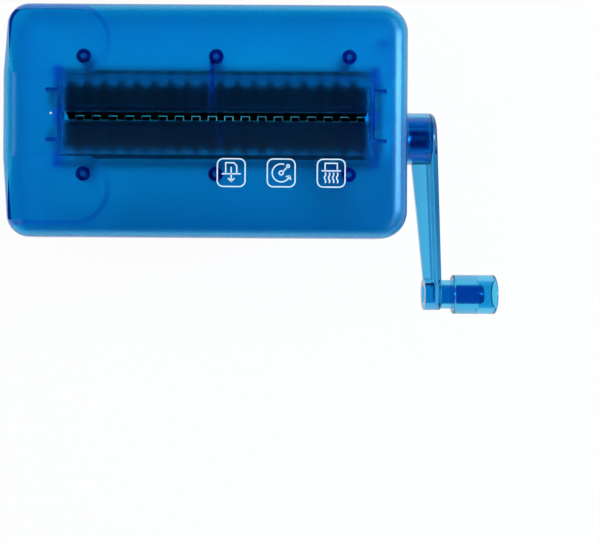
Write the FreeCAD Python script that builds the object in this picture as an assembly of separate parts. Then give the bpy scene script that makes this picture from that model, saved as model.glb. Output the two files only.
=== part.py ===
import FreeCAD, Part
import math
import os

from FreeCAD import Vector

# Hand-crank strip-cut paper shredder: a head with two geared cutter rollers, standing on a waste bin.
# Millimetres. +Z is up, +X points at the crank, -Y at the person who turns it.
# The origin is on the table, midway along the head and straight below the paper slot.

# Driving dimensions: paper path
strip_width = 4.3           # width of one cut strip, half the pitch of the cutters on a roller
strip_count = 36            # strips across the slot, an even number
slot_gap = 4.6              # opening between the two lips of the slot
lip_wall = 2.8
lip_length = 4.5            # height of the lips below the trough
lip_clear = 2.5             # from the lips down to the cutters
trough_width = 40.0
trough_depth = 9.0

# Driving dimensions: rollers
roller_spacing = 20.0       # distance between the two shafts
cutter_bite = 2.0           # how far the cutters of one roller reach past those of the other
cutter_side_gap = 0.5       # free space between neighbouring cutters of the two rollers
notch_count = 12            # feed notches round each cutter
notch_depth = 0.9
notch_width = 1.8
spacer_gap = 0.3            # from a cutter to the spacers of the other roller
shaft_diameter = 8.0
flat_depth = 1.2            # flat on the crank end of the drive shaft
shaft_tail = 2.0            # shaft beyond a clip
shaft_chamfer = 0.6

# Driving dimensions: gears, bushes and clips
gear_teeth = 20
gear_width = 6.0
gear_gap = 1.0              # from the end plate to the gear
gear_backlash = 0.3
gear_hub_diameter = 13.0
gear_hub_width = 1.0
pressure_angle = math.radians(20)
bush_wall = 2.0
flange_reach = 1.6          # flange of a bush beyond its barrel
flange_wall = 1.2
clip_wall = 1.0
clip_reach = 2.4            # clip beyond the shaft
groove_depth = 0.8

# Driving dimensions: chassis
plate_wall = 2.5
end_plate_wall = 4.0
end_plate_gap = 2.1         # from the end of the slot to the end plate
end_plate_margin = 10.0     # end plate beyond the bushes, front and rear
seat_margin = 5.0           # end plate above the bushes
buttress_wall = 2.5
buttress_length = 12.0
outlet_inset = 1.0          # opening below the rollers inside the cutters' reach, front and rear
outlet_ledge = 2.0          # chassis left between the opening and each end plate
stripper_wall = 3.0
stripper_clear = 1.5        # from the cutters to the stripper bar
finger_width = 2.6
finger_height = 3.0
finger_clear = 0.6          # from a finger to the spacer it scrapes
peg_diameter = 5.0          # peg that locates the chassis in the head
peg_height = 16.0
peg_set_out = 3.0           # from the right end plate to the peg
peg_row = 39.0

# Driving dimensions: head
grip_length = 31.7          # head to the left of the slot, held by the free hand
tail_room = 6.8             # head to the right of the gears
head_front = 63.0           # foot of the head in front of the slot
head_rear = 57.9
lean_angle = math.radians(2)
head_wall = 2.2
head_round = 9.0            # rounding between the sides and the top
corner_right = 14.0
corner_left = 11.5
band_half_width = 21.0      # flat band in the middle of the left end
band_round = 25.0
corner_set_back = 2.7       # the left corners stand back from the band
scoop_outer = 53.0          # far side of the finger scoops, from the middle
scoop_reach = 53.9          # rounded end of the scoops, from the left end of the head
scoop_shallow = 0.8
scoop_deep = 5.0
boss_diameter = 7.4
boss_bore = 3.0
boss_gap = 0.3              # from a stripper bar to the screw bosses
boss_inset = 10.6           # outer screw bosses, inwards from the slot's ends
tab_length = 6.0            # ribs that hold the end plates down
tab_wall = 2.0
tab_row = 12.5
guide_wall = 2.2            # ribs below the middle of the trough
guide_reach = 13.5          # front one, from the middle; the rear one runs to a screw boss
catch_width = 4.0           # bumps inside the front and rear walls that stop the chassis plate
catch_reach = 1.6
catch_height = 6.0
catch_x = 3.0

# Driving dimensions: screws
screw_length = 32.0
screw_head_diameter = 6.0
screw_head_height = 2.0
drive_slot = 1.0

# Driving dimensions: bin
bin_lean = 8.0              # how far the foot of the bin stands in from its rim
bin_wall = 2.4
bin_floor = 2.5
bin_edge_round = 4.0
rim_height = 3.0
rim_wall = 1.6
rim_shoulder = 4.0          # thick ring below the rim

# Driving dimensions: crank
crank_reach = 81.0          # from the shaft to the knob's axis
table_clear = 9.8           # from the table to the knob at the bottom of its turn
hub_diameter = 27.0
hub_depth = 12.1
hub_wall = 2.0
hub_round = 3.0
hub_rib_wall = 2.0
socket_diameter = 14.0
socket_set_back = 1.5       # mouth of the socket inside the hub's rim
arm_wall = 3.0
arm_root_width = 22.0
arm_tip_width = 16.0
arm_lean = 3.3              # the arm's tip stands further out than its root
arm_rib_wall = 3.6
arm_rib_root = 8.6          # height of the rib at the hub
arm_rib_tip = 4.7
tip_boss_diameter = 16.5
tip_boss_depth = 8.4
tip_boss_wall = 3.6
pin_diameter = 10.0
pin_barb = 0.7
pin_barb_length = 3.0
pin_split = 1.6
knob_diameter = 20.4
knob_length = 28.7
neck_diameter = 15.0
neck_length = 6.3
knob_bore_length = 19.0
knob_wall = 3.0
knob_round = 1.0
shoulder_round = 1.0        # edge of the knob's grip beside the neck

# Clearances
run_gap = 0.05              # shaft or pin turning in its bore, radial
seat_gap = 0.02             # piece fixed on another, radial
end_gap = 0.3               # turning piece beside a fixed one, along the shaft
lift_gap = 0.4              # bin rim inside the head
edge_gap = 0.5              # chassis plate inside the head
crank_gap = 0.8             # hub of the crank beside the head
swing_gap = 1.0             # arm of the crank beside the head, and room round the hub
rim_clear = 1.0             # from the bin's rim up to the chassis plate
sweep_clear = 0.5           # from the chassis plate up to the gears and cutters

# Derived sizes: rollers and gears
cutter_diameter = roller_spacing + cutter_bite
cutter_radius = cutter_diameter / 2
cutter_wall = strip_width - cutter_side_gap
cutter_count = strip_count // 2
spacer_diameter = 2 * (roller_spacing - cutter_radius - spacer_gap)
gear_module = roller_spacing / gear_teeth
gear_pitch_radius = roller_spacing / 2
gear_tip_radius = gear_pitch_radius + gear_module
shaft_bore = shaft_diameter + 2 * seat_gap
bush_bore = shaft_diameter + 2 * run_gap
bush_diameter = bush_bore + 2 * bush_wall
bush_seat = bush_diameter + 2 * seat_gap

# Derived places along X
slot_length = strip_width * strip_count
gear_end_length = end_plate_gap + end_plate_wall + gear_gap + gear_hub_width + gear_width + tail_room
head_length = grip_length + slot_length + gear_end_length
slot_left = grip_length - head_length / 2
slot_right = slot_left + slot_length
slot_middle = (slot_left + slot_right) / 2
left_plate_inner = slot_left - end_plate_gap
left_plate_outer = left_plate_inner - end_plate_wall
right_plate_inner = slot_right + end_plate_gap
right_plate_outer = right_plate_inner + end_plate_wall
gear_hub_x = right_plate_outer + gear_gap
gear_x = gear_hub_x + gear_hub_width
gear_end_x = gear_x + gear_width
left_clip_x = left_plate_outer - end_gap - clip_wall
right_clip_x = gear_end_x + seat_gap
shaft_left_x = left_clip_x - shaft_tail
driven_shaft_right_x = right_clip_x + clip_wall + shaft_tail

# Derived places along Y
drive_y = -roller_spacing / 2
driven_y = roller_spacing / 2
knob_y = drive_y - crank_reach
end_plate_half = roller_spacing / 2 + bush_diameter / 2 + end_plate_margin
outlet_half = roller_spacing / 2 + cutter_radius - outlet_inset
stripper_near = roller_spacing / 2 + cutter_radius + stripper_clear
finger_near = roller_spacing / 2 + spacer_diameter / 2 + finger_clear
boss_row = stripper_near + stripper_wall + boss_gap + boss_diameter / 2

# Derived heights
axis_above_foot = rim_height + rim_clear + plate_wall + sweep_clear + max(cutter_radius, gear_tip_radius)
foot_z = crank_reach + knob_diameter / 2 + table_clear - axis_above_foot
axis_z = foot_z + axis_above_foot
rim_top_z = foot_z + rim_height
plate_z = rim_top_z + rim_clear
plate_top_z = plate_z + plate_wall
end_plate_top_z = axis_z + bush_diameter / 2 + seat_margin
lip_z = axis_z + cutter_radius + lip_clear
trough_z = lip_z + lip_length
top_z = trough_z + trough_depth


def lean_at(z):
    """How far the head's sides stand in from the skirt's foot at a height."""
    return (z - foot_z) * math.tan(lean_angle)


# Derived places of the crank
recess_x = head_length / 2 - lean_at(axis_z)
recess_radius = hub_diameter / 2 + swing_gap
pad_radius = recess_radius + head_wall
hub_x = recess_x + crank_gap
arm_x = hub_x + hub_depth
drive_shaft_right_x = arm_x - end_gap
socket_x = hub_x + socket_set_back
tip_face_x = arm_x + arm_wall + arm_lean
knob_x = tip_face_x + end_gap
knob_end_x = knob_x + knob_length
shaft_hole_radius = shaft_diameter / 2 + swing_gap

screw_places = [(slot_middle + step * (slot_length / 2 - boss_inset), side * boss_row)
                for step in (-1, 0, 1) for side in (-1, 1)]
far = 2 * (head_length + head_front + head_rear)    # longer than anything here, for cutting away a half space


# Plain building blocks

def box(x0, x1, y0, y1, z0, z1):
    return Part.makeBox(x1 - x0, y1 - y0, z1 - z0, Vector(x0, y0, z0))


def rod(x0, x1, y, diameter, z=axis_z):
    """Round bar along X."""
    return Part.makeCylinder(diameter / 2, x1 - x0, Vector(x0, y, z), Vector(1, 0, 0))


def tube(x0, x1, y, outer, inner):
    return rod(x0, x1, y, outer).cut(rod(x0, x1, y, inner))


def post(x, y, z0, z1, diameter):
    """Round bar along Z."""
    return Part.makeCylinder(diameter / 2, z1 - z0, Vector(x, y, z0))


def prism(points, direction):
    """Flat outline through the points, pushed along a direction."""
    return Part.Face(Part.makePolygon(points + points[:1])).extrude(direction)


def along_x(profile, x0, x1):
    """Outline of (y, z) points, pushed along X."""
    return prism([Vector(x0, y, z) for y, z in profile], Vector(x1 - x0, 0, 0))


def front_and_rear(shape):
    return [shape, shape.mirror(Vector(0, 0, 0), Vector(0, 1, 0))]


def joined(shapes):
    return shapes[0].multiFuse(shapes[1:]).removeSplitter()


def rounded_outline(corners, z):
    """Closed wire of straight runs through (x, y, radius) corners, each rounded by a tangent arc."""
    starts, middles, ends = [], [], []
    for index, (x, y, radius) in enumerate(corners):
        corner = Vector(x, y, z)
        back = Vector(*corners[index - 1][:2], z) - corner
        ahead = Vector(*corners[(index + 1) % len(corners)][:2], z) - corner
        half = back.getAngle(ahead) / 2
        back.normalize()
        ahead.normalize()
        inwards = (back + ahead).normalize()
        starts.append(corner + back * (radius / math.tan(half)))
        ends.append(corner + ahead * (radius / math.tan(half)))
        middles.append(corner + inwards * (radius / math.sin(half) - radius))
    edges = []
    for index in range(len(corners)):
        edges.append(Part.Arc(starts[index], middles[index], ends[index]).toShape())
        edges.append(Part.makeLine(ends[index], starts[(index + 1) % len(corners)]))
    return Part.Wire(edges)


def head_outline(z, shrink, wall=0.0):
    """Plan of the head, drawn in by shrink with its corner radii kept, then by a wall's thickness."""
    right = head_length / 2 - shrink - wall
    front = head_front - shrink - wall
    rear = head_rear - shrink - wall
    stepped = corner_set_back - right
    return rounded_outline([(right, -front, corner_right - wall),
                            (right, rear, corner_right - wall),
                            (stepped, rear, corner_left - wall),
                            (-right, band_half_width, band_round),
                            (-right, -band_half_width, band_round),
                            (stepped, -front, corner_left - wall)], z)


def outline_prism(z0, z1, shrink, wall=0.0):
    return Part.Face(head_outline(z0, shrink, wall)).extrude(Vector(0, 0, z1 - z0))


# Head cover

def scoop(grow):
    """Finger scoop at the rear left corner; its floor falls away towards the rear."""
    near = band_half_width - grow
    outer = scoop_outer + grow
    radius = (outer - near) / 2
    end_x = scoop_reach - head_length / 2 - (scoop_outer - band_half_width) / 2
    plan = box(-head_length, end_x, near, outer, 0, far)
    plan = plan.fuse(post(end_x, (near + outer) / 2, 0, far, 2 * radius))
    slope = (scoop_deep - scoop_shallow) / (scoop_outer - band_half_width)
    near_z = top_z - scoop_shallow - grow + slope * grow
    outer_z = top_z - scoop_deep - grow - slope * grow
    above = along_x([(near, near_z), (outer, outer_z), (outer, far), (near, far)], -head_length, head_length)
    return plan.common(above)


def trough(grow):
    """Wide V that guides the paper to the slot."""
    edge = trough_width / 2 + grow
    foot = slot_gap / 2 + lip_wall
    profile = [(-edge, far), (-edge, top_z - grow), (-foot, trough_z - grow),
               (foot, trough_z - grow), (edge, top_z - grow), (edge, far)]
    return along_x(profile, slot_left - grow, slot_right + grow)


def head_form(wall):
    """The head's outer form, or with a wall's thickness the hollow inside it."""
    low_z = foot_z - wall
    high_z = top_z - wall
    form = Part.makeLoft([head_outline(low_z, lean_at(low_z), wall),
                          head_outline(high_z, lean_at(high_z), wall)], True, True)
    top_edges = [edge for edge in form.Edges if edge.BoundBox.ZMin > high_z - seat_gap]
    form = form.makeFillet(head_round - wall, top_edges)
    return form.cut(front_and_rear(scoop(wall)) + [trough(wall)])


def crank_pad():
    """Thick patch of the right wall, round the flat recess that the crank's hub turns in."""
    pad = rod(recess_x - head_wall, far, drive_y, 2 * pad_radius)
    return pad.cut(box(-far, far, -far, far, -far, foot_z + end_gap))


def crank_pad_room():
    """Space that the bin's rim and the chassis plate leave free for the patch."""
    reach = pad_radius + edge_gap
    return box(recess_x - head_wall - edge_gap, far, drive_y - reach, drive_y + reach, foot_z, far)


def cover_without_shaft_notch():
    outer = head_form(0.0)
    hollow = head_form(head_wall)
    shell = outer.cut(hollow)
    lips = box(slot_left - lip_wall, slot_right + lip_wall,
               -slot_gap / 2 - lip_wall, slot_gap / 2 + lip_wall, lip_z, trough_z)
    inside = [lips, crank_pad()]
    inside += [post(x, y, plate_top_z, top_z, boss_diameter) for x, y in screw_places]
    for start in (left_plate_inner - tab_length, right_plate_inner):
        for row in (-tab_row, tab_row):
            inside.append(box(start, start + tab_length, row - tab_wall / 2, row + tab_wall / 2,
                              end_plate_top_z + seat_gap, top_z))
    guide_z = axis_z + spacer_diameter / 2 + lip_clear
    guide_near = slot_gap / 2 + lip_wall / 2
    for centres, low_y, high_y in ((cutter_gaps(driven_y), guide_near, boss_row),
                                   (cutter_gaps(drive_y), -guide_reach, -guide_near)):
        x = centres[len(centres) // 2]
        inside.append(box(x - guide_wall / 2, x + guide_wall / 2, low_y, high_y, guide_z, top_z))
    catch_low = plate_top_z + seat_gap
    for foot, side in ((head_front, -1), (head_rear, 1)):
        wall_y = side * (foot - lean_at(catch_low) - head_wall / 2)
        tip_y = wall_y - side * (catch_reach + head_wall / 2)
        inside.append(box(catch_x - catch_width / 2, catch_x + catch_width / 2,
                          min(wall_y, tip_y), max(wall_y, tip_y), catch_low, catch_low + catch_height))
    inside = [piece.common(outer) for piece in inside]
    cover = joined([shell] + inside)
    recess = rod(recess_x, far, drive_y, 2 * recess_radius)
    slot = box(slot_left, slot_right, -slot_gap / 2, slot_gap / 2, 0, far)
    bores = [post(x, y, 0, top_z, boss_bore).common(hollow) for x, y in screw_places]
    return cover.cut([recess, slot] + bores)


def shaft_notch(gap):
    """Slot in the right wall, open at the bottom, that the drive shaft passes through."""
    radius = shaft_hole_radius - gap
    start = gear_end_x + shaft_tail
    below = box(start, far, drive_y - radius, drive_y + radius, 0, axis_z)
    return below.fuse(rod(start, far, drive_y, 2 * radius))


def shaft_tongue(cover):
    """The piece of wall below the shaft, which belongs to the chassis and plugs the notch."""
    plug = cover.common(shaft_notch(seat_gap + end_gap))
    plug = plug.cut(rod(0, far, drive_y, 2 * shaft_hole_radius))
    below = box(-far, far, -far, far, foot_z + end_gap, axis_z)
    return plug.common(below)


# Rollers

def cutter_centres(y):
    """Places of a roller's cutters; the rear roller cuts the even strips and the front one the odd."""
    first = 0.5 if y == driven_y else 1.5
    return [slot_left + (2 * index + first) * strip_width for index in range(cutter_count)]


def cutter_gaps(y):
    return [centre + strip_width for centre in cutter_centres(y)[:-1]]


def cutter(y):
    """One notched cutter, centred on X = 0."""
    disc = tube(-cutter_wall / 2, cutter_wall / 2, y, cutter_diameter, shaft_bore)
    notch = box(-cutter_wall, cutter_wall, y - notch_width / 2, y + notch_width / 2,
                axis_z + cutter_radius - notch_depth, axis_z + cutter_diameter)
    notches = []
    for index in range(notch_count):
        turned = notch.copy()
        turned.rotate(Vector(0, y, axis_z), Vector(1, 0, 0), index * 360 / notch_count)
        notches.append(turned)
    return disc.cut(notches)


def cutters(y):
    pattern = cutter(y)
    return Part.makeCompound([pattern.translated(Vector(x, 0, 0)) for x in cutter_centres(y)])


def spacers(y):
    """Sleeves between the cutters and, at both ends, up to the bushes."""
    centres = cutter_centres(y)
    starts = [left_plate_inner + flange_wall + end_gap] + [x + cutter_wall / 2 for x in centres]
    ends = [x - cutter_wall / 2 for x in centres] + [right_plate_inner - flange_wall - end_gap]
    return Part.makeCompound([tube(start, end, y, spacer_diameter, shaft_bore)
                              for start, end in zip(starts, ends)])


def flat_cut(gap):
    """Everything above the flat on the drive shaft's end."""
    height = axis_z + shaft_diameter / 2 - flat_depth + gap
    return box(hub_x, far, -far, far, height, far)


def clip_groove(x, y):
    groove_diameter = shaft_diameter - 2 * groove_depth
    return tube(x - seat_gap, x + clip_wall + seat_gap, y, 2 * shaft_diameter, groove_diameter)


def shaft(y, right_x):
    bar = rod(shaft_left_x, right_x, y, shaft_diameter)
    bar = bar.makeChamfer(shaft_chamfer, [edge for edge in bar.Edges if len(edge.Vertexes) == 1])
    return bar.cut([clip_groove(left_clip_x, y), clip_groove(right_clip_x, y)])


def clips(y):
    """Open spring clips in the grooves at both ends of a roller."""
    rings = []
    for x in (left_clip_x, right_clip_x):
        inner = shaft_diameter - 2 * groove_depth + 2 * seat_gap
        ring = tube(x, x + clip_wall, y, shaft_diameter + 2 * clip_reach, inner)
        mouth = box(x - clip_wall, x + 2 * clip_wall, y - inner / 3, y + inner / 3, 0, axis_z)
        rings.append(ring.cut(mouth))
    return Part.makeCompound(rings)


def bush(plate_inner, plate_outer, y):
    """Plain bearing in an end plate, with its flange on the roller's side."""
    outwards = 1 if plate_outer > plate_inner else -1
    flange_x = plate_inner - outwards * flange_wall
    barrel = rod(min(plate_inner, plate_outer), max(plate_inner, plate_outer), y, bush_diameter)
    flange = rod(min(flange_x, plate_inner), max(flange_x, plate_inner), y, bush_diameter + 2 * flange_reach)
    return barrel.fuse(flange).cut(rod(-far, far, y, bush_bore)).removeSplitter()


# Gears

def involute(angle):
    return math.tan(angle) - angle


def gear(y, turn):
    """Spur gear with involute teeth, turned by a share of one tooth, with a short hub on the left."""
    base = gear_pitch_radius * math.cos(pressure_angle)
    root = gear_pitch_radius - 1.25 * gear_module
    tooth = 2 * math.pi / gear_teeth
    half_at_pitch = tooth / 4 - gear_backlash / (4 * gear_pitch_radius)
    steps = 5
    radii = [base + (gear_tip_radius - base) * step / steps for step in range(steps + 1)]
    half_angles = [half_at_pitch + involute(pressure_angle) - involute(math.acos(base / radius))
                   for radius in radii]

    def point(radius, angle):
        return Vector(gear_x, y + radius * math.cos(angle), axis_z + radius * math.sin(angle))

    def flank(middle, side):
        curve = Part.BSplineCurve()
        curve.interpolate([point(radius, middle + side * half)
                           for radius, half in zip(radii, half_angles)])
        return curve.toShape()

    edges = []
    for index in range(gear_teeth):
        middle = (index + turn) * tooth
        rise, fall = middle - half_angles[0], middle + half_angles[0]
        next_rise = middle + tooth - half_angles[0]
        edges.append(Part.makeLine(point(root, rise), point(base, rise)))
        edges.append(flank(middle, -1))
        edges.append(Part.Arc(point(gear_tip_radius, middle - half_angles[-1]),
                              point(gear_tip_radius, middle),
                              point(gear_tip_radius, middle + half_angles[-1])).toShape())
        edges.append(flank(middle, 1))
        edges.append(Part.makeLine(point(base, fall), point(root, fall)))
        edges.append(Part.Arc(point(root, fall), point(root, (fall + next_rise) / 2),
                              point(root, next_rise)).toShape())
    wheel = Part.Face(Part.Wire(Part.__sortEdges__(edges))).extrude(Vector(gear_width, 0, 0))
    hub = rod(gear_hub_x, gear_x, y, gear_hub_diameter)
    return wheel.fuse(hub).cut(rod(0, far, y, shaft_bore)).removeSplitter()


# Chassis

def end_plate(inner_x, outer_x):
    """Upright with two seats, open at the top, that the bushes drop into."""
    low, high = min(inner_x, outer_x), max(inner_x, outer_x)
    plate = box(low, high, -end_plate_half, end_plate_half, plate_z, end_plate_top_z)
    seats = []
    for y in (drive_y, driven_y):
        seats.append(rod(low, high, y, bush_seat))
        seats.append(box(low, high, y - bush_seat / 2, y + bush_seat / 2, axis_z, end_plate_top_z))
    return plate.cut(seats)


def buttress(plate_outer, outwards):
    """Sloping rib that stiffens an end plate from outside."""
    near = end_plate_half - buttress_wall
    foot = plate_outer + outwards * buttress_length
    return prism([Vector(plate_outer, near, plate_z), Vector(foot, near, plate_z),
                  Vector(foot, near, plate_top_z), Vector(plate_outer, near, axis_z)],
                 Vector(0, buttress_wall, 0))


def chassis(tongue):
    plate = outline_prism(plate_z, plate_top_z, lean_at(plate_top_z), head_wall + edge_gap)
    outlet = box(left_plate_inner + outlet_ledge, right_plate_inner - outlet_ledge,
                 -outlet_half, outlet_half, 0, far)
    holes = [post(x, y, 0, far, boss_bore + 2 * run_gap) for x, y in screw_places]
    plate = plate.cut([outlet, crank_pad_room()] + holes)
    reach = shaft_hole_radius - seat_gap - end_gap
    web = box(recess_x - head_wall - 2 * edge_gap - plate_wall, recess_x - head_wall / 2,
              drive_y - reach, drive_y + reach, plate_z, plate_top_z)
    pieces = [plate, end_plate(left_plate_inner, left_plate_outer),
              end_plate(right_plate_inner, right_plate_outer), web, tongue]
    pieces += front_and_rear(buttress(left_plate_outer, -1))
    peg_x = right_plate_outer + peg_set_out
    pieces.append(post(peg_x, peg_row, plate_z, plate_top_z + peg_height, peg_diameter))
    return joined(pieces)


def stripper(y):
    """Bar beside a roller with a finger in every gap between its cutters."""
    side = 1 if y == driven_y else -1
    top = axis_z
    bar = box(left_plate_inner, right_plate_inner, stripper_near, stripper_near + stripper_wall,
              plate_top_z, top)
    fingers = [box(x - finger_width / 2, x + finger_width / 2, finger_near, stripper_near,
                   top - finger_height, top) for x in cutter_gaps(y)]
    comb = joined([bar] + fingers)
    return comb if side == 1 else comb.mirror(Vector(0, 0, 0), Vector(0, 1, 0))


def screw(x, y):
    """Pan-head screw, driven from below through the chassis into a boss of the cover."""
    head = post(x, y, plate_z - screw_head_height, plate_z, screw_head_diameter)
    lower_edges = [edge for edge in head.Edges if edge.BoundBox.ZMax < plate_z - screw_head_height / 2]
    head = head.makeFillet(screw_head_height / 3, lower_edges)
    shank = post(x, y, plate_z, plate_z + screw_length, boss_bore - 2 * seat_gap)
    reach = screw_head_diameter / 3
    low, high = plate_z - screw_head_height, plate_z - screw_head_height / 2
    cross = [box(x - reach, x + reach, y - drive_slot / 2, y + drive_slot / 2, low, high),
             box(x - drive_slot / 2, x + drive_slot / 2, y - reach, y + reach, low, high)]
    return head.fuse(shank).cut(cross)


# Waste bin

def waste_bin():
    outer = Part.makeLoft([head_outline(0, bin_lean), head_outline(foot_z, 0)], True, True)
    foot_edges = [edge for edge in outer.Edges if edge.BoundBox.ZMax < seat_gap]
    outer = outer.makeFillet(bin_edge_round, foot_edges)
    shoulder_z = foot_z - rim_shoulder
    lean_per_mm = bin_lean / foot_z
    hollow = Part.makeLoft([head_outline(bin_floor, bin_lean - lean_per_mm * bin_floor, bin_wall),
                            head_outline(shoulder_z, lean_per_mm * rim_shoulder, bin_wall)], True, True)
    rim_shrink = lean_at(rim_top_z)
    rim_outer = head_wall + lift_gap
    rim = outline_prism(shoulder_z, rim_top_z, rim_shrink, rim_outer)
    mouth = outline_prism(shoulder_z, rim_top_z, rim_shrink, rim_outer + rim_wall)
    return outer.fuse(rim).cut([hollow, mouth, crank_pad_room()]).removeSplitter()


# Crank

def crank_arm():
    hub_end = arm_x + arm_wall
    hub = rod(hub_x, hub_end, drive_y, hub_diameter)
    outer_edge = [edge for edge in hub.Edges if edge.BoundBox.XMin > hub_end - seat_gap]
    hub = hub.makeFillet(hub_round, outer_edge)
    hub = hub.cut(rod(hub_x, arm_x, drive_y, hub_diameter - 2 * hub_wall))
    socket = rod(socket_x, arm_x, drive_y, socket_diameter)
    half = hub_diameter / 2 - hub_wall / 2
    ribs = [box(socket_x, arm_x, drive_y - half, drive_y + half,
                axis_z - hub_rib_wall / 2, axis_z + hub_rib_wall / 2),
            box(socket_x, arm_x, drive_y - hub_rib_wall / 2, drive_y + hub_rib_wall / 2,
                axis_z - half, axis_z + half)]

    leaning = prism([Vector(arm_x, drive_y, 0), Vector(hub_end, drive_y, 0),
                     Vector(hub_end + arm_lean, knob_y, 0), Vector(arm_x + arm_lean, knob_y, 0)],
                    Vector(0, 0, far))
    tapered = along_x([(drive_y, axis_z - arm_root_width / 2), (drive_y, axis_z + arm_root_width / 2),
                       (knob_y, axis_z + arm_tip_width / 2), (knob_y, axis_z - arm_tip_width / 2)],
                      hub_x, hub_x + far)
    plate = leaning.common(tapered)

    tip_low = tip_face_x - tip_boss_depth
    tip = rod(tip_low, tip_face_x, knob_y, tip_boss_diameter)
    rib_root = drive_y - hub_diameter / 2 + hub_wall / 2
    rib = prism([Vector(arm_x - arm_rib_root, rib_root, axis_z - arm_rib_wall / 2),
                 Vector(arm_x + arm_wall / 2, rib_root, axis_z - arm_rib_wall / 2),
                 Vector(arm_x + arm_lean + arm_wall / 2, knob_y, axis_z - arm_rib_wall / 2),
                 Vector(arm_x + arm_lean - arm_rib_tip, knob_y, axis_z - arm_rib_wall / 2)],
                Vector(0, 0, arm_rib_wall))

    shoulder_x = knob_x + knob_bore_length + end_gap
    pin_end = shoulder_x + pin_barb_length
    pin = rod(tip_face_x, shoulder_x, knob_y, pin_diameter)
    barb = Part.makeCone(pin_diameter / 2 + pin_barb, pin_diameter / 2 - pin_barb, pin_barb_length,
                         Vector(shoulder_x, knob_y, axis_z), Vector(1, 0, 0))
    split = box(knob_x + knob_bore_length / 3, pin_end, knob_y - far, knob_y + far,
                axis_z - pin_split / 2, axis_z + pin_split / 2)
    catch = pin.fuse(barb).cut(split)

    arm = joined([hub, socket, plate, tip, rib, catch] + ribs)
    bore = rod(hub_x - far, arm_x, drive_y, bush_bore).cut(flat_cut(run_gap))
    tip_hollow = rod(tip_low, tip_face_x - arm_wall, knob_y, tip_boss_diameter - 2 * tip_boss_wall)
    return arm.cut([bore, tip_hollow])


def crank_knob():
    grip_x = knob_x + neck_length
    neck = rod(knob_x, grip_x, knob_y, neck_diameter)
    grip = rod(grip_x, knob_end_x, knob_y, knob_diameter)
    end_edges = [edge for edge in grip.Edges if edge.BoundBox.XMin > knob_end_x - seat_gap]
    grip = grip.makeFillet(knob_round, end_edges)
    shoulder_edges = [edge for edge in grip.Edges if edge.BoundBox.XMax < grip_x + seat_gap]
    grip = grip.makeFillet(shoulder_round, shoulder_edges)
    cavity = rod(knob_x + knob_bore_length, knob_end_x, knob_y, knob_diameter - 2 * knob_wall)
    bore = rod(knob_x, knob_end_x, knob_y, pin_diameter + 2 * run_gap)
    return neck.fuse(grip).cut([cavity, bore]).removeSplitter()


def main():
    whole_cover = cover_without_shaft_notch()
    drive_shaft = shaft(drive_y, drive_shaft_right_x).cut(flat_cut(0.0))
    nodes = {
        "waste_bin": waste_bin(),
        "top_cover": whole_cover.cut(shaft_notch(0.0)),
        "chassis": chassis(shaft_tongue(whole_cover)),
        "cover_screws": Part.makeCompound([screw(x, y) for x, y in screw_places]),
        "front_stripper": stripper(drive_y),
        "rear_stripper": stripper(driven_y),
        "drive_shaft": drive_shaft,
        "driven_shaft": shaft(driven_y, driven_shaft_right_x),
        "drive_gear": gear(drive_y, 0.0),
        "driven_gear": gear(driven_y, 0.5),
        "crank_arm": crank_arm(),
        "crank_knob": crank_knob(),
    }
    for name, y in (("drive", drive_y), ("driven", driven_y)):
        nodes[name + "_cutters"] = cutters(y)
        nodes[name + "_spacers"] = spacers(y)
        nodes[name + "_clips"] = clips(y)
        nodes[name + "_bush_left"] = bush(left_plate_inner, left_plate_outer, y)
        nodes[name + "_bush_right"] = bush(right_plate_inner, right_plate_outer, y)

    os.makedirs("parts", exist_ok=True)
    for name, shape in nodes.items():
        shape.exportStep(os.path.join("parts", name + ".step"))
        print(name, len(shape.Solids), "solids", round(shape.Volume), "mm3", shape.isValid())


main()
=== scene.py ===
import math

import bpy
from mathutils import Matrix, Vector

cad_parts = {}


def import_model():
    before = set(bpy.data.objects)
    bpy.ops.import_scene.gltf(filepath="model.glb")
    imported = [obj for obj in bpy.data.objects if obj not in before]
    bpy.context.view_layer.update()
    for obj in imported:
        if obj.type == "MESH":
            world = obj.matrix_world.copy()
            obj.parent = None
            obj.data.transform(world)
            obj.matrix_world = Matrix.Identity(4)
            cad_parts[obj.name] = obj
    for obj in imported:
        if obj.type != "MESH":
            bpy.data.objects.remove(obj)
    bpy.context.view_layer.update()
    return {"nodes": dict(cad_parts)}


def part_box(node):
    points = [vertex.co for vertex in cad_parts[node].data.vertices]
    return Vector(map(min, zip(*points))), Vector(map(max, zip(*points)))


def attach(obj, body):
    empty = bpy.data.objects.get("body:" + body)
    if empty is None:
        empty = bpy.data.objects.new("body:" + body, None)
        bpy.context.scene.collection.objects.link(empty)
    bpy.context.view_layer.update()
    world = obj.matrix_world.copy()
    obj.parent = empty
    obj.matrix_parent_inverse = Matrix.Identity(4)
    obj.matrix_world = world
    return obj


# Hand-crank paper shredder in tinted clear plastic, seen from above on a white table. Metres.

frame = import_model()
nodes = frame["nodes"]
head_low, head_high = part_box("top_cover")

# Camera: the point of the photograph that it stands over, and the scale at the head's top
photo_width = 600
photo_height = 543
over_px = 230
over_py = 203
metres_per_px = 0.0005
camera_x = 0.0127
camera_y = -0.044
camera_above_top = 0.6
camera_roll = math.radians(0.35)
sensor_width_mm = 36.0

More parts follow.
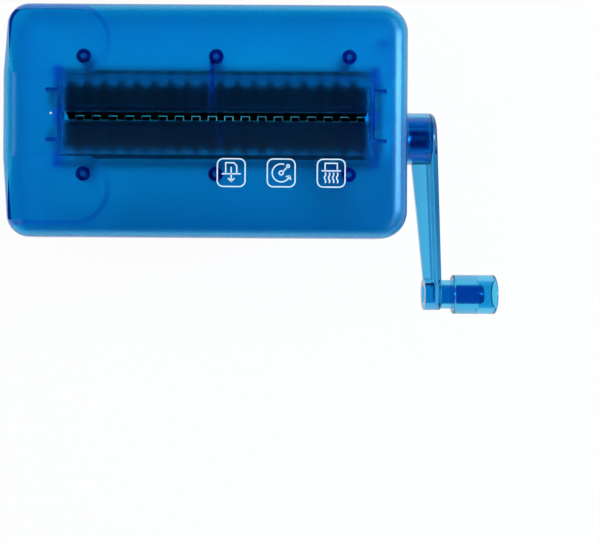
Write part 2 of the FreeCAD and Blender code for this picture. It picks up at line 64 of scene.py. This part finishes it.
# Studio: a white table, a dark ceiling, long soft lights on both sides, a window on the right and, from
# above, a fill that shows in no reflection
floor_size = 8.0
floor_glow = 0.95               # share of the table's white that no shadow reaches
shadow_middle = (0.005, -0.042)  # painted shadow of the object on the table, seen only through the plastic
shadow_length = (0.08, 0.125)    # half of its length, where it starts to fade and where it ends
shadow_width = (0.0, 0.1)
shadow_colour = (0.08, 0.09, 0.16)
light_distance = 1.3
softbox_size = (0.55, 2.0)
right_angle = math.radians(41)
right_power = 3.5
left_angle = math.radians(-44)
left_power = 3.5
window_angle = math.radians(54)
window_size = (0.8, 0.3)
window_along = 0.1
window_power = 12.0
window_colour = (0.3, 0.75, 1.0)
fill_size = (1.2, 1.2)
fill_power = 10.0
ceiling = (0.004, 0.004, 0.005)
horizon = (0.7, 0.72, 0.78)
ceiling_slope = 0.4             # share of the way up from the horizon at which the ceiling is dark

# Tinted plastic: the colour of a thin wall, the colour and density that depth adds, and the roughness
# of the polished outside and the frosted inside
cover_colour = (0.06, 0.83, 0.988)
inner_colour = (0.07, 0.84, 0.995)
bin_colour = (0.06, 0.79, 0.988)
shell_depth = (0.0, 0.82, 0.985, 1.0)
shell_density = 340.0
crank_colour = (0.08, 0.5, 0.83)
knob_colour = (0.1, 0.6, 0.87)
crank_depth = (0.0, 0.54, 0.82, 1.0)
crank_density = 40.0
plastic_ior = 1.5
cloud_shade = 0.96              # brightness of the plastic's cloudy patches
cover_finish = {"polish": (0.2, 0.26), "frost": (0.36, 0.42)}
inner_finish = {"polish": (0.1, 0.16), "frost": (0.2, 0.26)}
crank_finish = {"polish": (0.04, 0.09), "frost": (0.06, 0.12)}
shade_tint = (0.25, 0.55, 0.85)  # light that reaches the pieces below a wall

# Print and moulding marks
icon_size = 0.0145
icon_line = 0.00062
icon_round = 0.2                # corner of an icon's frame, as a share of its size
film = 0.00004                  # how far the print reaches above and below the surface
icon_y = -0.0288
icon_xs = (0.0132, 0.0382, 0.0632)
gate_place = (-0.0772, 0.0005)
gate_radius = 0.0006
gate_height = 2 * film


# Shader helpers

def blank_material(name):
    material = bpy.data.materials.new(name)
    material.use_nodes = True
    tree = material.node_tree
    tree.nodes.clear()
    return material, tree, tree.nodes.new("ShaderNodeOutputMaterial")


def add(tree, kind, settings=None, **inputs):
    """New shader node; an input is a value, or a socket to link from. Underscores stand for spaces."""
    node = tree.nodes.new("ShaderNode" + kind)
    for key, value in (settings or {}).items():
        setattr(node, key, value)
    for key, value in inputs.items():
        socket = node.inputs[key.replace("_", " ")]
        if isinstance(value, bpy.types.NodeSocket):
            tree.links.new(value, socket)
        else:
            socket.default_value = value
    return node


def place(tree, stretch=(1, 1, 1)):
    """Position on the piece, stretched along its axes."""
    coordinates = add(tree, "TexCoord").outputs["Object"]
    return add(tree, "Mapping", Vector=coordinates, Scale=stretch).outputs["Vector"]


def noise(tree, scale, detail=2.0, stretch=(1, 1, 1)):
    return add(tree, "TexNoise", Vector=place(tree, stretch), Scale=scale, Detail=detail).outputs["Fac"]


def spread(tree, value, low, high, start=0.3, end=0.7):
    """Carries a noise value to a range of numbers."""
    inputs = {"From_Min": start, "From_Max": end, "To_Min": low, "To_Max": high}
    return add(tree, "MapRange", Value=value, **inputs).outputs["Result"]


def ramp(tree, value, low_colour, high_colour, start=0.3, end=0.7):
    node = add(tree, "ValToRGB", Fac=value)
    node.color_ramp.elements[0].position = start
    node.color_ramp.elements[1].position = end
    node.color_ramp.elements[0].color = (*low_colour, 1.0)
    node.color_ramp.elements[1].color = (*high_colour, 1.0)
    return node.outputs["Color"]


def bump(tree, height, strength, distance):
    return add(tree, "Bump", Height=height, Strength=strength, Distance=distance).outputs["Normal"]


def math_node(tree, operation, first, second):
    node = add(tree, "Math", {"operation": operation})
    for socket, value in zip(node.inputs, (first, second)):
        if isinstance(value, bpy.types.NodeSocket):
            tree.links.new(value, socket)
        else:
            socket.default_value = value
    return node.outputs[0]


def any_ray(tree, *kinds):
    """1 for rays of the named kinds, otherwise 0."""
    light_path = add(tree, "LightPath")
    total = light_path.outputs[kinds[0]]
    for kind in kinds[1:]:
        total = math_node(tree, "MAXIMUM", total, light_path.outputs[kind])
    return total


def mix_shaders(tree, factor, first, second):
    node = add(tree, "MixShader", Fac=factor)
    tree.links.new(first, node.inputs[1])
    tree.links.new(second, node.inputs[2])
    return node.outputs[0]


# Materials

def tinted_plastic(name, colour, depth_colour, density, polish, frost):
    """Clear plastic, blue by its depth: polished with faint rubbed streaks outside, frosted inside."""
    material, tree, output = blank_material(name)
    clouds = noise(tree, scale=26.0, detail=3.0)
    grain = noise(tree, scale=900.0)
    streaks = noise(tree, scale=140.0, detail=4.0, stretch=(1.0, 0.25, 1.0))
    leaving = add(tree, "NewGeometry").outputs["Backfacing"]
    finish = {"To_Min": spread(tree, streaks, *polish), "To_Max": spread(tree, clouds, *frost)}
    glass = add(tree, "BsdfPrincipled",
                Base_Color=ramp(tree, clouds, [cloud_shade * share for share in colour], colour),
                Roughness=add(tree, "MapRange", Value=leaving, **finish).outputs["Result"],
                IOR=plastic_ior,
                Transmission_Weight=1.0,
                Normal=bump(tree, grain, strength=0.04, distance=0.0002))
    lit = add(tree, "BsdfTransparent", Color=(*shade_tint, 1.0))
    surface = mix_shaders(tree, any_ray(tree, "Is Shadow Ray"), glass.outputs[0], lit.outputs[0])
    depth = add(tree, "VolumeAbsorption", Color=depth_colour, Density=density)
    tree.links.new(surface, output.inputs["Surface"])
    tree.links.new(depth.outputs[0], output.inputs["Volume"])
    return material


def turned_metal(name, low_colour, high_colour, roughness, lines, metallic=1.0):
    """Steel with fine lines round X and darker stains; less metallic where it has a film of oil."""
    material, tree, output = blank_material(name)
    stains = noise(tree, scale=220.0, detail=4.0)
    turning = noise(tree, scale=lines, stretch=(1.0, 0.02, 0.02))
    steel = add(tree, "BsdfPrincipled",
                Base_Color=ramp(tree, stains, low_colour, high_colour),
                Metallic=metallic,
                Roughness=spread(tree, turning, *roughness),
                Normal=bump(tree, turning, strength=0.15, distance=0.00005))
    tree.links.new(steel.outputs[0], output.inputs["Surface"])
    return material


def moulded(name, low_colour, high_colour, roughness):
    """Opaque moulded plastic or ink with a fine grain."""
    material, tree, output = blank_material(name)
    clouds = noise(tree, scale=90.0, detail=3.0)
    grain = noise(tree, scale=2400.0)
    plastic = add(tree, "BsdfPrincipled",
                  Base_Color=ramp(tree, clouds, low_colour, high_colour),
                  Roughness=spread(tree, grain, *roughness),
                  Normal=bump(tree, grain, strength=0.12, distance=0.0001))
    tree.links.new(plastic.outputs[0], output.inputs["Surface"])
    return material


def dress(names, material):
    for name in names:
        mesh = nodes[name].data
        mesh.materials.clear()
        mesh.materials.append(material)


shell = (shell_depth, shell_density)
cover_plastic = tinted_plastic("cover_plastic", cover_colour, *shell, **cover_finish)
inner_plastic = tinted_plastic("inner_plastic", inner_colour, *shell, **inner_finish)
bin_plastic = tinted_plastic("bin_plastic", bin_colour, *shell, **inner_finish)
crank = (crank_depth, crank_density)
crank_plastic = tinted_plastic("crank_plastic", crank_colour, *crank, **crank_finish)
knob_plastic = tinted_plastic("knob_plastic", knob_colour, *crank, **crank_finish)
shaft_steel = turned_metal("shaft_steel", (0.22, 0.2, 0.2), (0.42, 0.39, 0.38), (0.3, 0.48), 3000.0, 0.5)
cutter_steel = turned_metal("cutter_steel", (0.008, 0.008, 0.01), (0.025, 0.025, 0.03),
                            (0.25, 0.45), 2500.0)
zinc = turned_metal("zinc", (0.6, 0.6, 0.61), (0.8, 0.8, 0.78), (0.3, 0.5), 2000.0)
black_plastic = moulded("black_plastic", (0.004, 0.004, 0.005), (0.01, 0.01, 0.012), (0.4, 0.55))
nylon = moulded("nylon", (0.72, 0.71, 0.66), (0.85, 0.84, 0.8), (0.4, 0.55))
white_ink = moulded("white_ink", (0.8, 0.87, 0.95), (0.88, 0.94, 1.0), (0.45, 0.6))

dress(["top_cover"], cover_plastic)
dress(["chassis", "front_stripper", "rear_stripper"], inner_plastic)
dress(["waste_bin"], bin_plastic)
dress(["crank_arm"], crank_plastic)
dress(["crank_knob"], knob_plastic)
for roller in ("drive_", "driven_"):
    dress([roller + "shaft"], shaft_steel)
    dress([roller + "cutters"], cutter_steel)
    dress([roller + "spacers"], black_plastic)
    dress([roller + "gear", roller + "bush_left", roller + "bush_right"], nylon)
    dress([roller + "clips"], zinc)
dress(["cover_screws"], zinc)


# Printed icons: line drawings inside a frame that is one unit wide

def arc(x, y, radius, start, end, steps):
    """Points on a circle, between two angles in degrees."""
    angles = [math.radians(start + (end - start) * step / steps) for step in range(steps + 1)]
    return [(x + radius * math.cos(angle), y + radius * math.sin(angle)) for angle in angles]


def rounded_frame():
    inset = 0.5 - icon_round - icon_line / icon_size / 2
    points = []
    for turn, (x, y) in enumerate(((inset, inset), (-inset, inset), (-inset, -inset), (inset, -inset))):
        points += arc(x, y, icon_round, 90 * turn, 90 * turn + 90, 6)
    return points + points[:1]


def feed_lines():
    """A sheet with a turned corner, going down into a slot."""
    sheet = [(-0.19, -0.04), (-0.19, 0.34), (0.09, 0.34), (0.19, 0.24), (0.19, -0.04)]
    return [sheet, [(-0.33, -0.04), (0.33, -0.04)], [(0.0, 0.2), (0.0, -0.3)],
            [(-0.11, -0.19), (0.0, -0.3), (0.11, -0.19)]]


def turn_lines():
    """A crank with an arrow round it."""
    way = arc(0.0, 0.0, 0.31, 70, 340, 24)
    tip_x, tip_y = way[-1]
    return [way, [(tip_x - 0.13, tip_y - 0.02), (tip_x, tip_y), (tip_x + 0.04, tip_y - 0.13)],
            arc(0.0, 0.0, 0.07, 0, 360, 14), [(0.06, 0.04), (0.2, 0.2)], arc(0.235, 0.235, 0.05, 0, 360, 12)]


def strip_lines():
    """A sheet that comes out below the slot as strips."""
    sheet = [(-0.21, 0.08), (-0.21, 0.34), (0.21, 0.34), (0.21, 0.08)]
    lines = [sheet, [(-0.33, 0.08), (0.33, 0.08)]]
    steps = 8
    for x in (-0.21, -0.07, 0.07, 0.21):
        lines.append([(x + 0.025 * math.sin(3 * math.pi * step / steps), 0.02 - 0.36 * step / steps)
                      for step in range(steps + 1)])
    return lines


def stroke_edges(points, width):
    """Left and right edges of a line of even width; a line that ends where it starts is closed."""
    closed = (points[0] - points[-1]).length < width / 10
    corners = points[:-1] if closed else points
    edges = []
    for index, corner in enumerate(corners):
        ways = []
        if closed or index > 0:
            ways.append((corner - corners[index - 1]).normalized())
        if closed or index < len(corners) - 1:
            ways.append((corners[(index + 1) % len(corners)] - corner).normalized())
        mean = sum(ways, Vector((0, 0))).normalized()
        reach = width / 2 / max(mean.dot(ways[0]), 0.5)
        across = Vector((-mean.y, mean.x)) * reach
        edges.append((corner + across, corner - across))
    return edges + edges[:1] if closed else edges


def stroke_faces(points, width, low, high, vertices, faces):
    """Adds a flat bar along the points, from one height to another, to the lists of a mesh."""
    edges = stroke_edges(points, width)
    start = len(vertices)
    for left, right in edges:
        for side, height in ((left, low), (right, low), (right, high), (left, high)):
            vertices.append((side.x, side.y, height))
    for index in range(len(edges) - 1):
        here = start + 4 * index
        for side in range(4):
            after = (side + 1) % 4
            faces.append((here + side, here + after, here + 4 + after, here + 4 + side))
    if (edges[0][0] - edges[-1][0]).length > width / 10:
        last = start + 4 * (len(edges) - 1)
        faces.append((start + 3, start + 2, start + 1, start))
        faces.append((last, last + 1, last + 2, last + 3))


def new_piece(name, vertices, faces, material, body):
    mesh = bpy.data.meshes.new(name)
    mesh.from_pydata(vertices, [], faces)
    mesh.validate()
    mesh.materials.append(material)
    piece = bpy.data.objects.new(name, mesh)
    bpy.context.collection.objects.link(piece)
    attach(piece, body)
    return piece


def icon(name, x, lines):
    vertices, faces = [], []
    for line in [rounded_frame()] + lines:
        points = [Vector((x, icon_y)) + Vector(point) * icon_size for point in line]
        stroke_faces(points, icon_line, head_high.z - film, head_high.z + film, vertices, faces)
    new_piece(name, vertices, faces, white_ink, "head")


for icon_name, icon_x, icon_lines in zip(("icon_feed", "icon_turn", "icon_strips"), icon_xs,
                                         (feed_lines(), turn_lines(), strip_lines())):
    icon(icon_name, icon_x, icon_lines)


# Moulding marks

def dome(name, middle, radius, height, body, material):
    """Low round nib on a flat face that looks up."""
    around, rings = 20, 4
    vertices, faces = [], []
    for ring in range(rings):
        slope = math.pi / 2 * ring / rings
        for step in range(around):
            angle = 2 * math.pi * step / around
            vertices.append((middle.x + radius * math.cos(slope) * math.cos(angle),
                             middle.y + radius * math.cos(slope) * math.sin(angle),
                             middle.z + height * math.sin(slope)))
    vertices.append((middle.x, middle.y, middle.z + height))
    faces.append(tuple(reversed(range(around))))
    for ring in range(rings - 1):
        for step in range(around):
            after = (step + 1) % around
            low, high = ring * around, (ring + 1) * around
            faces.append((low + step, low + after, high + after, high + step))
    last = (rings - 1) * around
    for step in range(around):
        faces.append((last + step, last + (step + 1) % around, len(vertices) - 1))
    piece = new_piece(name, vertices, faces, material, body)
    piece.data.shade_smooth()


gate_foot = Vector((*gate_place, head_high.z - film))
dome("gate_mark", gate_foot, gate_radius, gate_height + film, "head", nylon)


# Studio

def painted_shadow(tree):
    """White, with a painted shadow below the front of the head."""
    position = add(tree, "SeparateXYZ", Vector=place(tree))
    amounts = []
    for axis, middle, fade in zip("XY", shadow_middle, (shadow_length, shadow_width)):
        away = math_node(tree, "SUBTRACT", position.outputs[axis], middle)
        away = math_node(tree, "ABSOLUTE", away, 0.0)
        amounts.append(spread(tree, away, 1.0, 0.0, *fade))
    return ramp(tree, math_node(tree, "MULTIPLY", *amounts), (1.0, 1.0, 1.0), shadow_colour, 0.0, 1.0)


def floor():
    bpy.ops.mesh.primitive_plane_add(size=floor_size)
    plane = bpy.context.object
    plane.name = "floor"
    material, tree, output = blank_material("floor_white")
    matt = add(tree, "BsdfDiffuse", Color=(0.92, 0.92, 0.92, 1.0))
    glow = add(tree, "Emission", Color=(1.0, 1.0, 1.0, 1.0), Strength=1.0)
    # painted shadow: the table seen through the plastic glows darker below the head
    under = add(tree, "Emission", Color=painted_shadow(tree), Strength=1.0)
    shown = mix_shaders(tree, any_ray(tree, "Is Transmission Ray"), glow.outputs[0], under.outputs[0])
    seen = any_ray(tree, "Is Camera Ray", "Is Glossy Ray", "Is Transmission Ray")
    share = math_node(tree, "MULTIPLY", seen, floor_glow)
    surface = mix_shaders(tree, share, matt.outputs[0], shown)
    tree.links.new(surface, output.inputs["Surface"])
    plane.data.materials.append(material)


def soft_light(name, size, angle, power, along=0.0, colour=(1.0, 1.0, 1.0)):
    """Rectangular light, turned about the object from straight above and moved along Y."""
    lamp = bpy.data.lights.new(name, "AREA")
    lamp.shape = "RECTANGLE"
    lamp.size, lamp.size_y = size
    lamp.energy = power
    lamp.color = colour
    lamp_object = bpy.data.objects.new(name, lamp)
    bpy.context.collection.objects.link(lamp_object)
    aim = (head_low + head_high) / 2
    lamp_object.matrix_world = (Matrix.Translation(aim) @ Matrix.Rotation(angle, 4, "Y")
                                @ Matrix.Translation((0, along, light_distance)))
    return lamp_object


def lights():
    soft_light("softbox_right", softbox_size, right_angle, right_power)
    soft_light("softbox_left", softbox_size, left_angle, left_power)
    soft_light("window_right", window_size, window_angle, window_power, window_along, window_colour)
    fill = soft_light("fill", fill_size, 0.0, fill_power)
    fill.visible_glossy = False
    fill.visible_transmission = False


def world():
    """Dark ceiling over pale walls; white where the camera looks straight at it."""
    studio = bpy.data.worlds.new("studio")
    bpy.context.scene.world = studio
    studio.use_nodes = True
    tree = studio.node_tree
    tree.nodes.clear()
    direction = add(tree, "TexCoord").outputs["Generated"]
    height = add(tree, "SeparateXYZ", Vector=direction).outputs["Z"]
    shade = ramp(tree, height, horizon, ceiling, 0.0, ceiling_slope)
    around = add(tree, "Background", Color=shade, Strength=1.0)
    white = add(tree, "Background", Color=(1.0, 1.0, 1.0, 1.0), Strength=1.0)
    surface = mix_shaders(tree, any_ray(tree, "Is Camera Ray"), around.outputs[0], white.outputs[0])
    tree.links.new(surface, tree.nodes.new("ShaderNodeOutputWorld").inputs["Surface"])


def camera():
    """Straight down, beside the middle of the head, with the frame shifted as in the photograph."""
    lens = bpy.data.cameras.new("camera")
    lens.sensor_width = sensor_width_mm
    lens.lens = sensor_width_mm * camera_above_top / (metres_per_px * photo_width)
    lens.shift_x = (photo_width / 2 - over_px) / photo_width
    lens.shift_y = (over_py - photo_height / 2) / photo_width
    camera_object = bpy.data.objects.new("camera", lens)
    bpy.context.collection.objects.link(camera_object)
    camera_object.location = (camera_x, camera_y, head_high.z + camera_above_top)
    camera_object.rotation_euler = (0, 0, camera_roll)
    bpy.context.scene.camera = camera_object


floor()
lights()
world()
camera()

scene = bpy.context.scene
scene.view_settings.view_transform = "Standard"
scene.cycles.max_bounces = 32
scene.cycles.transmission_bounces = 32
scene.cycles.transparent_max_bounces = 32
scene.cycles.glossy_bounces = 8
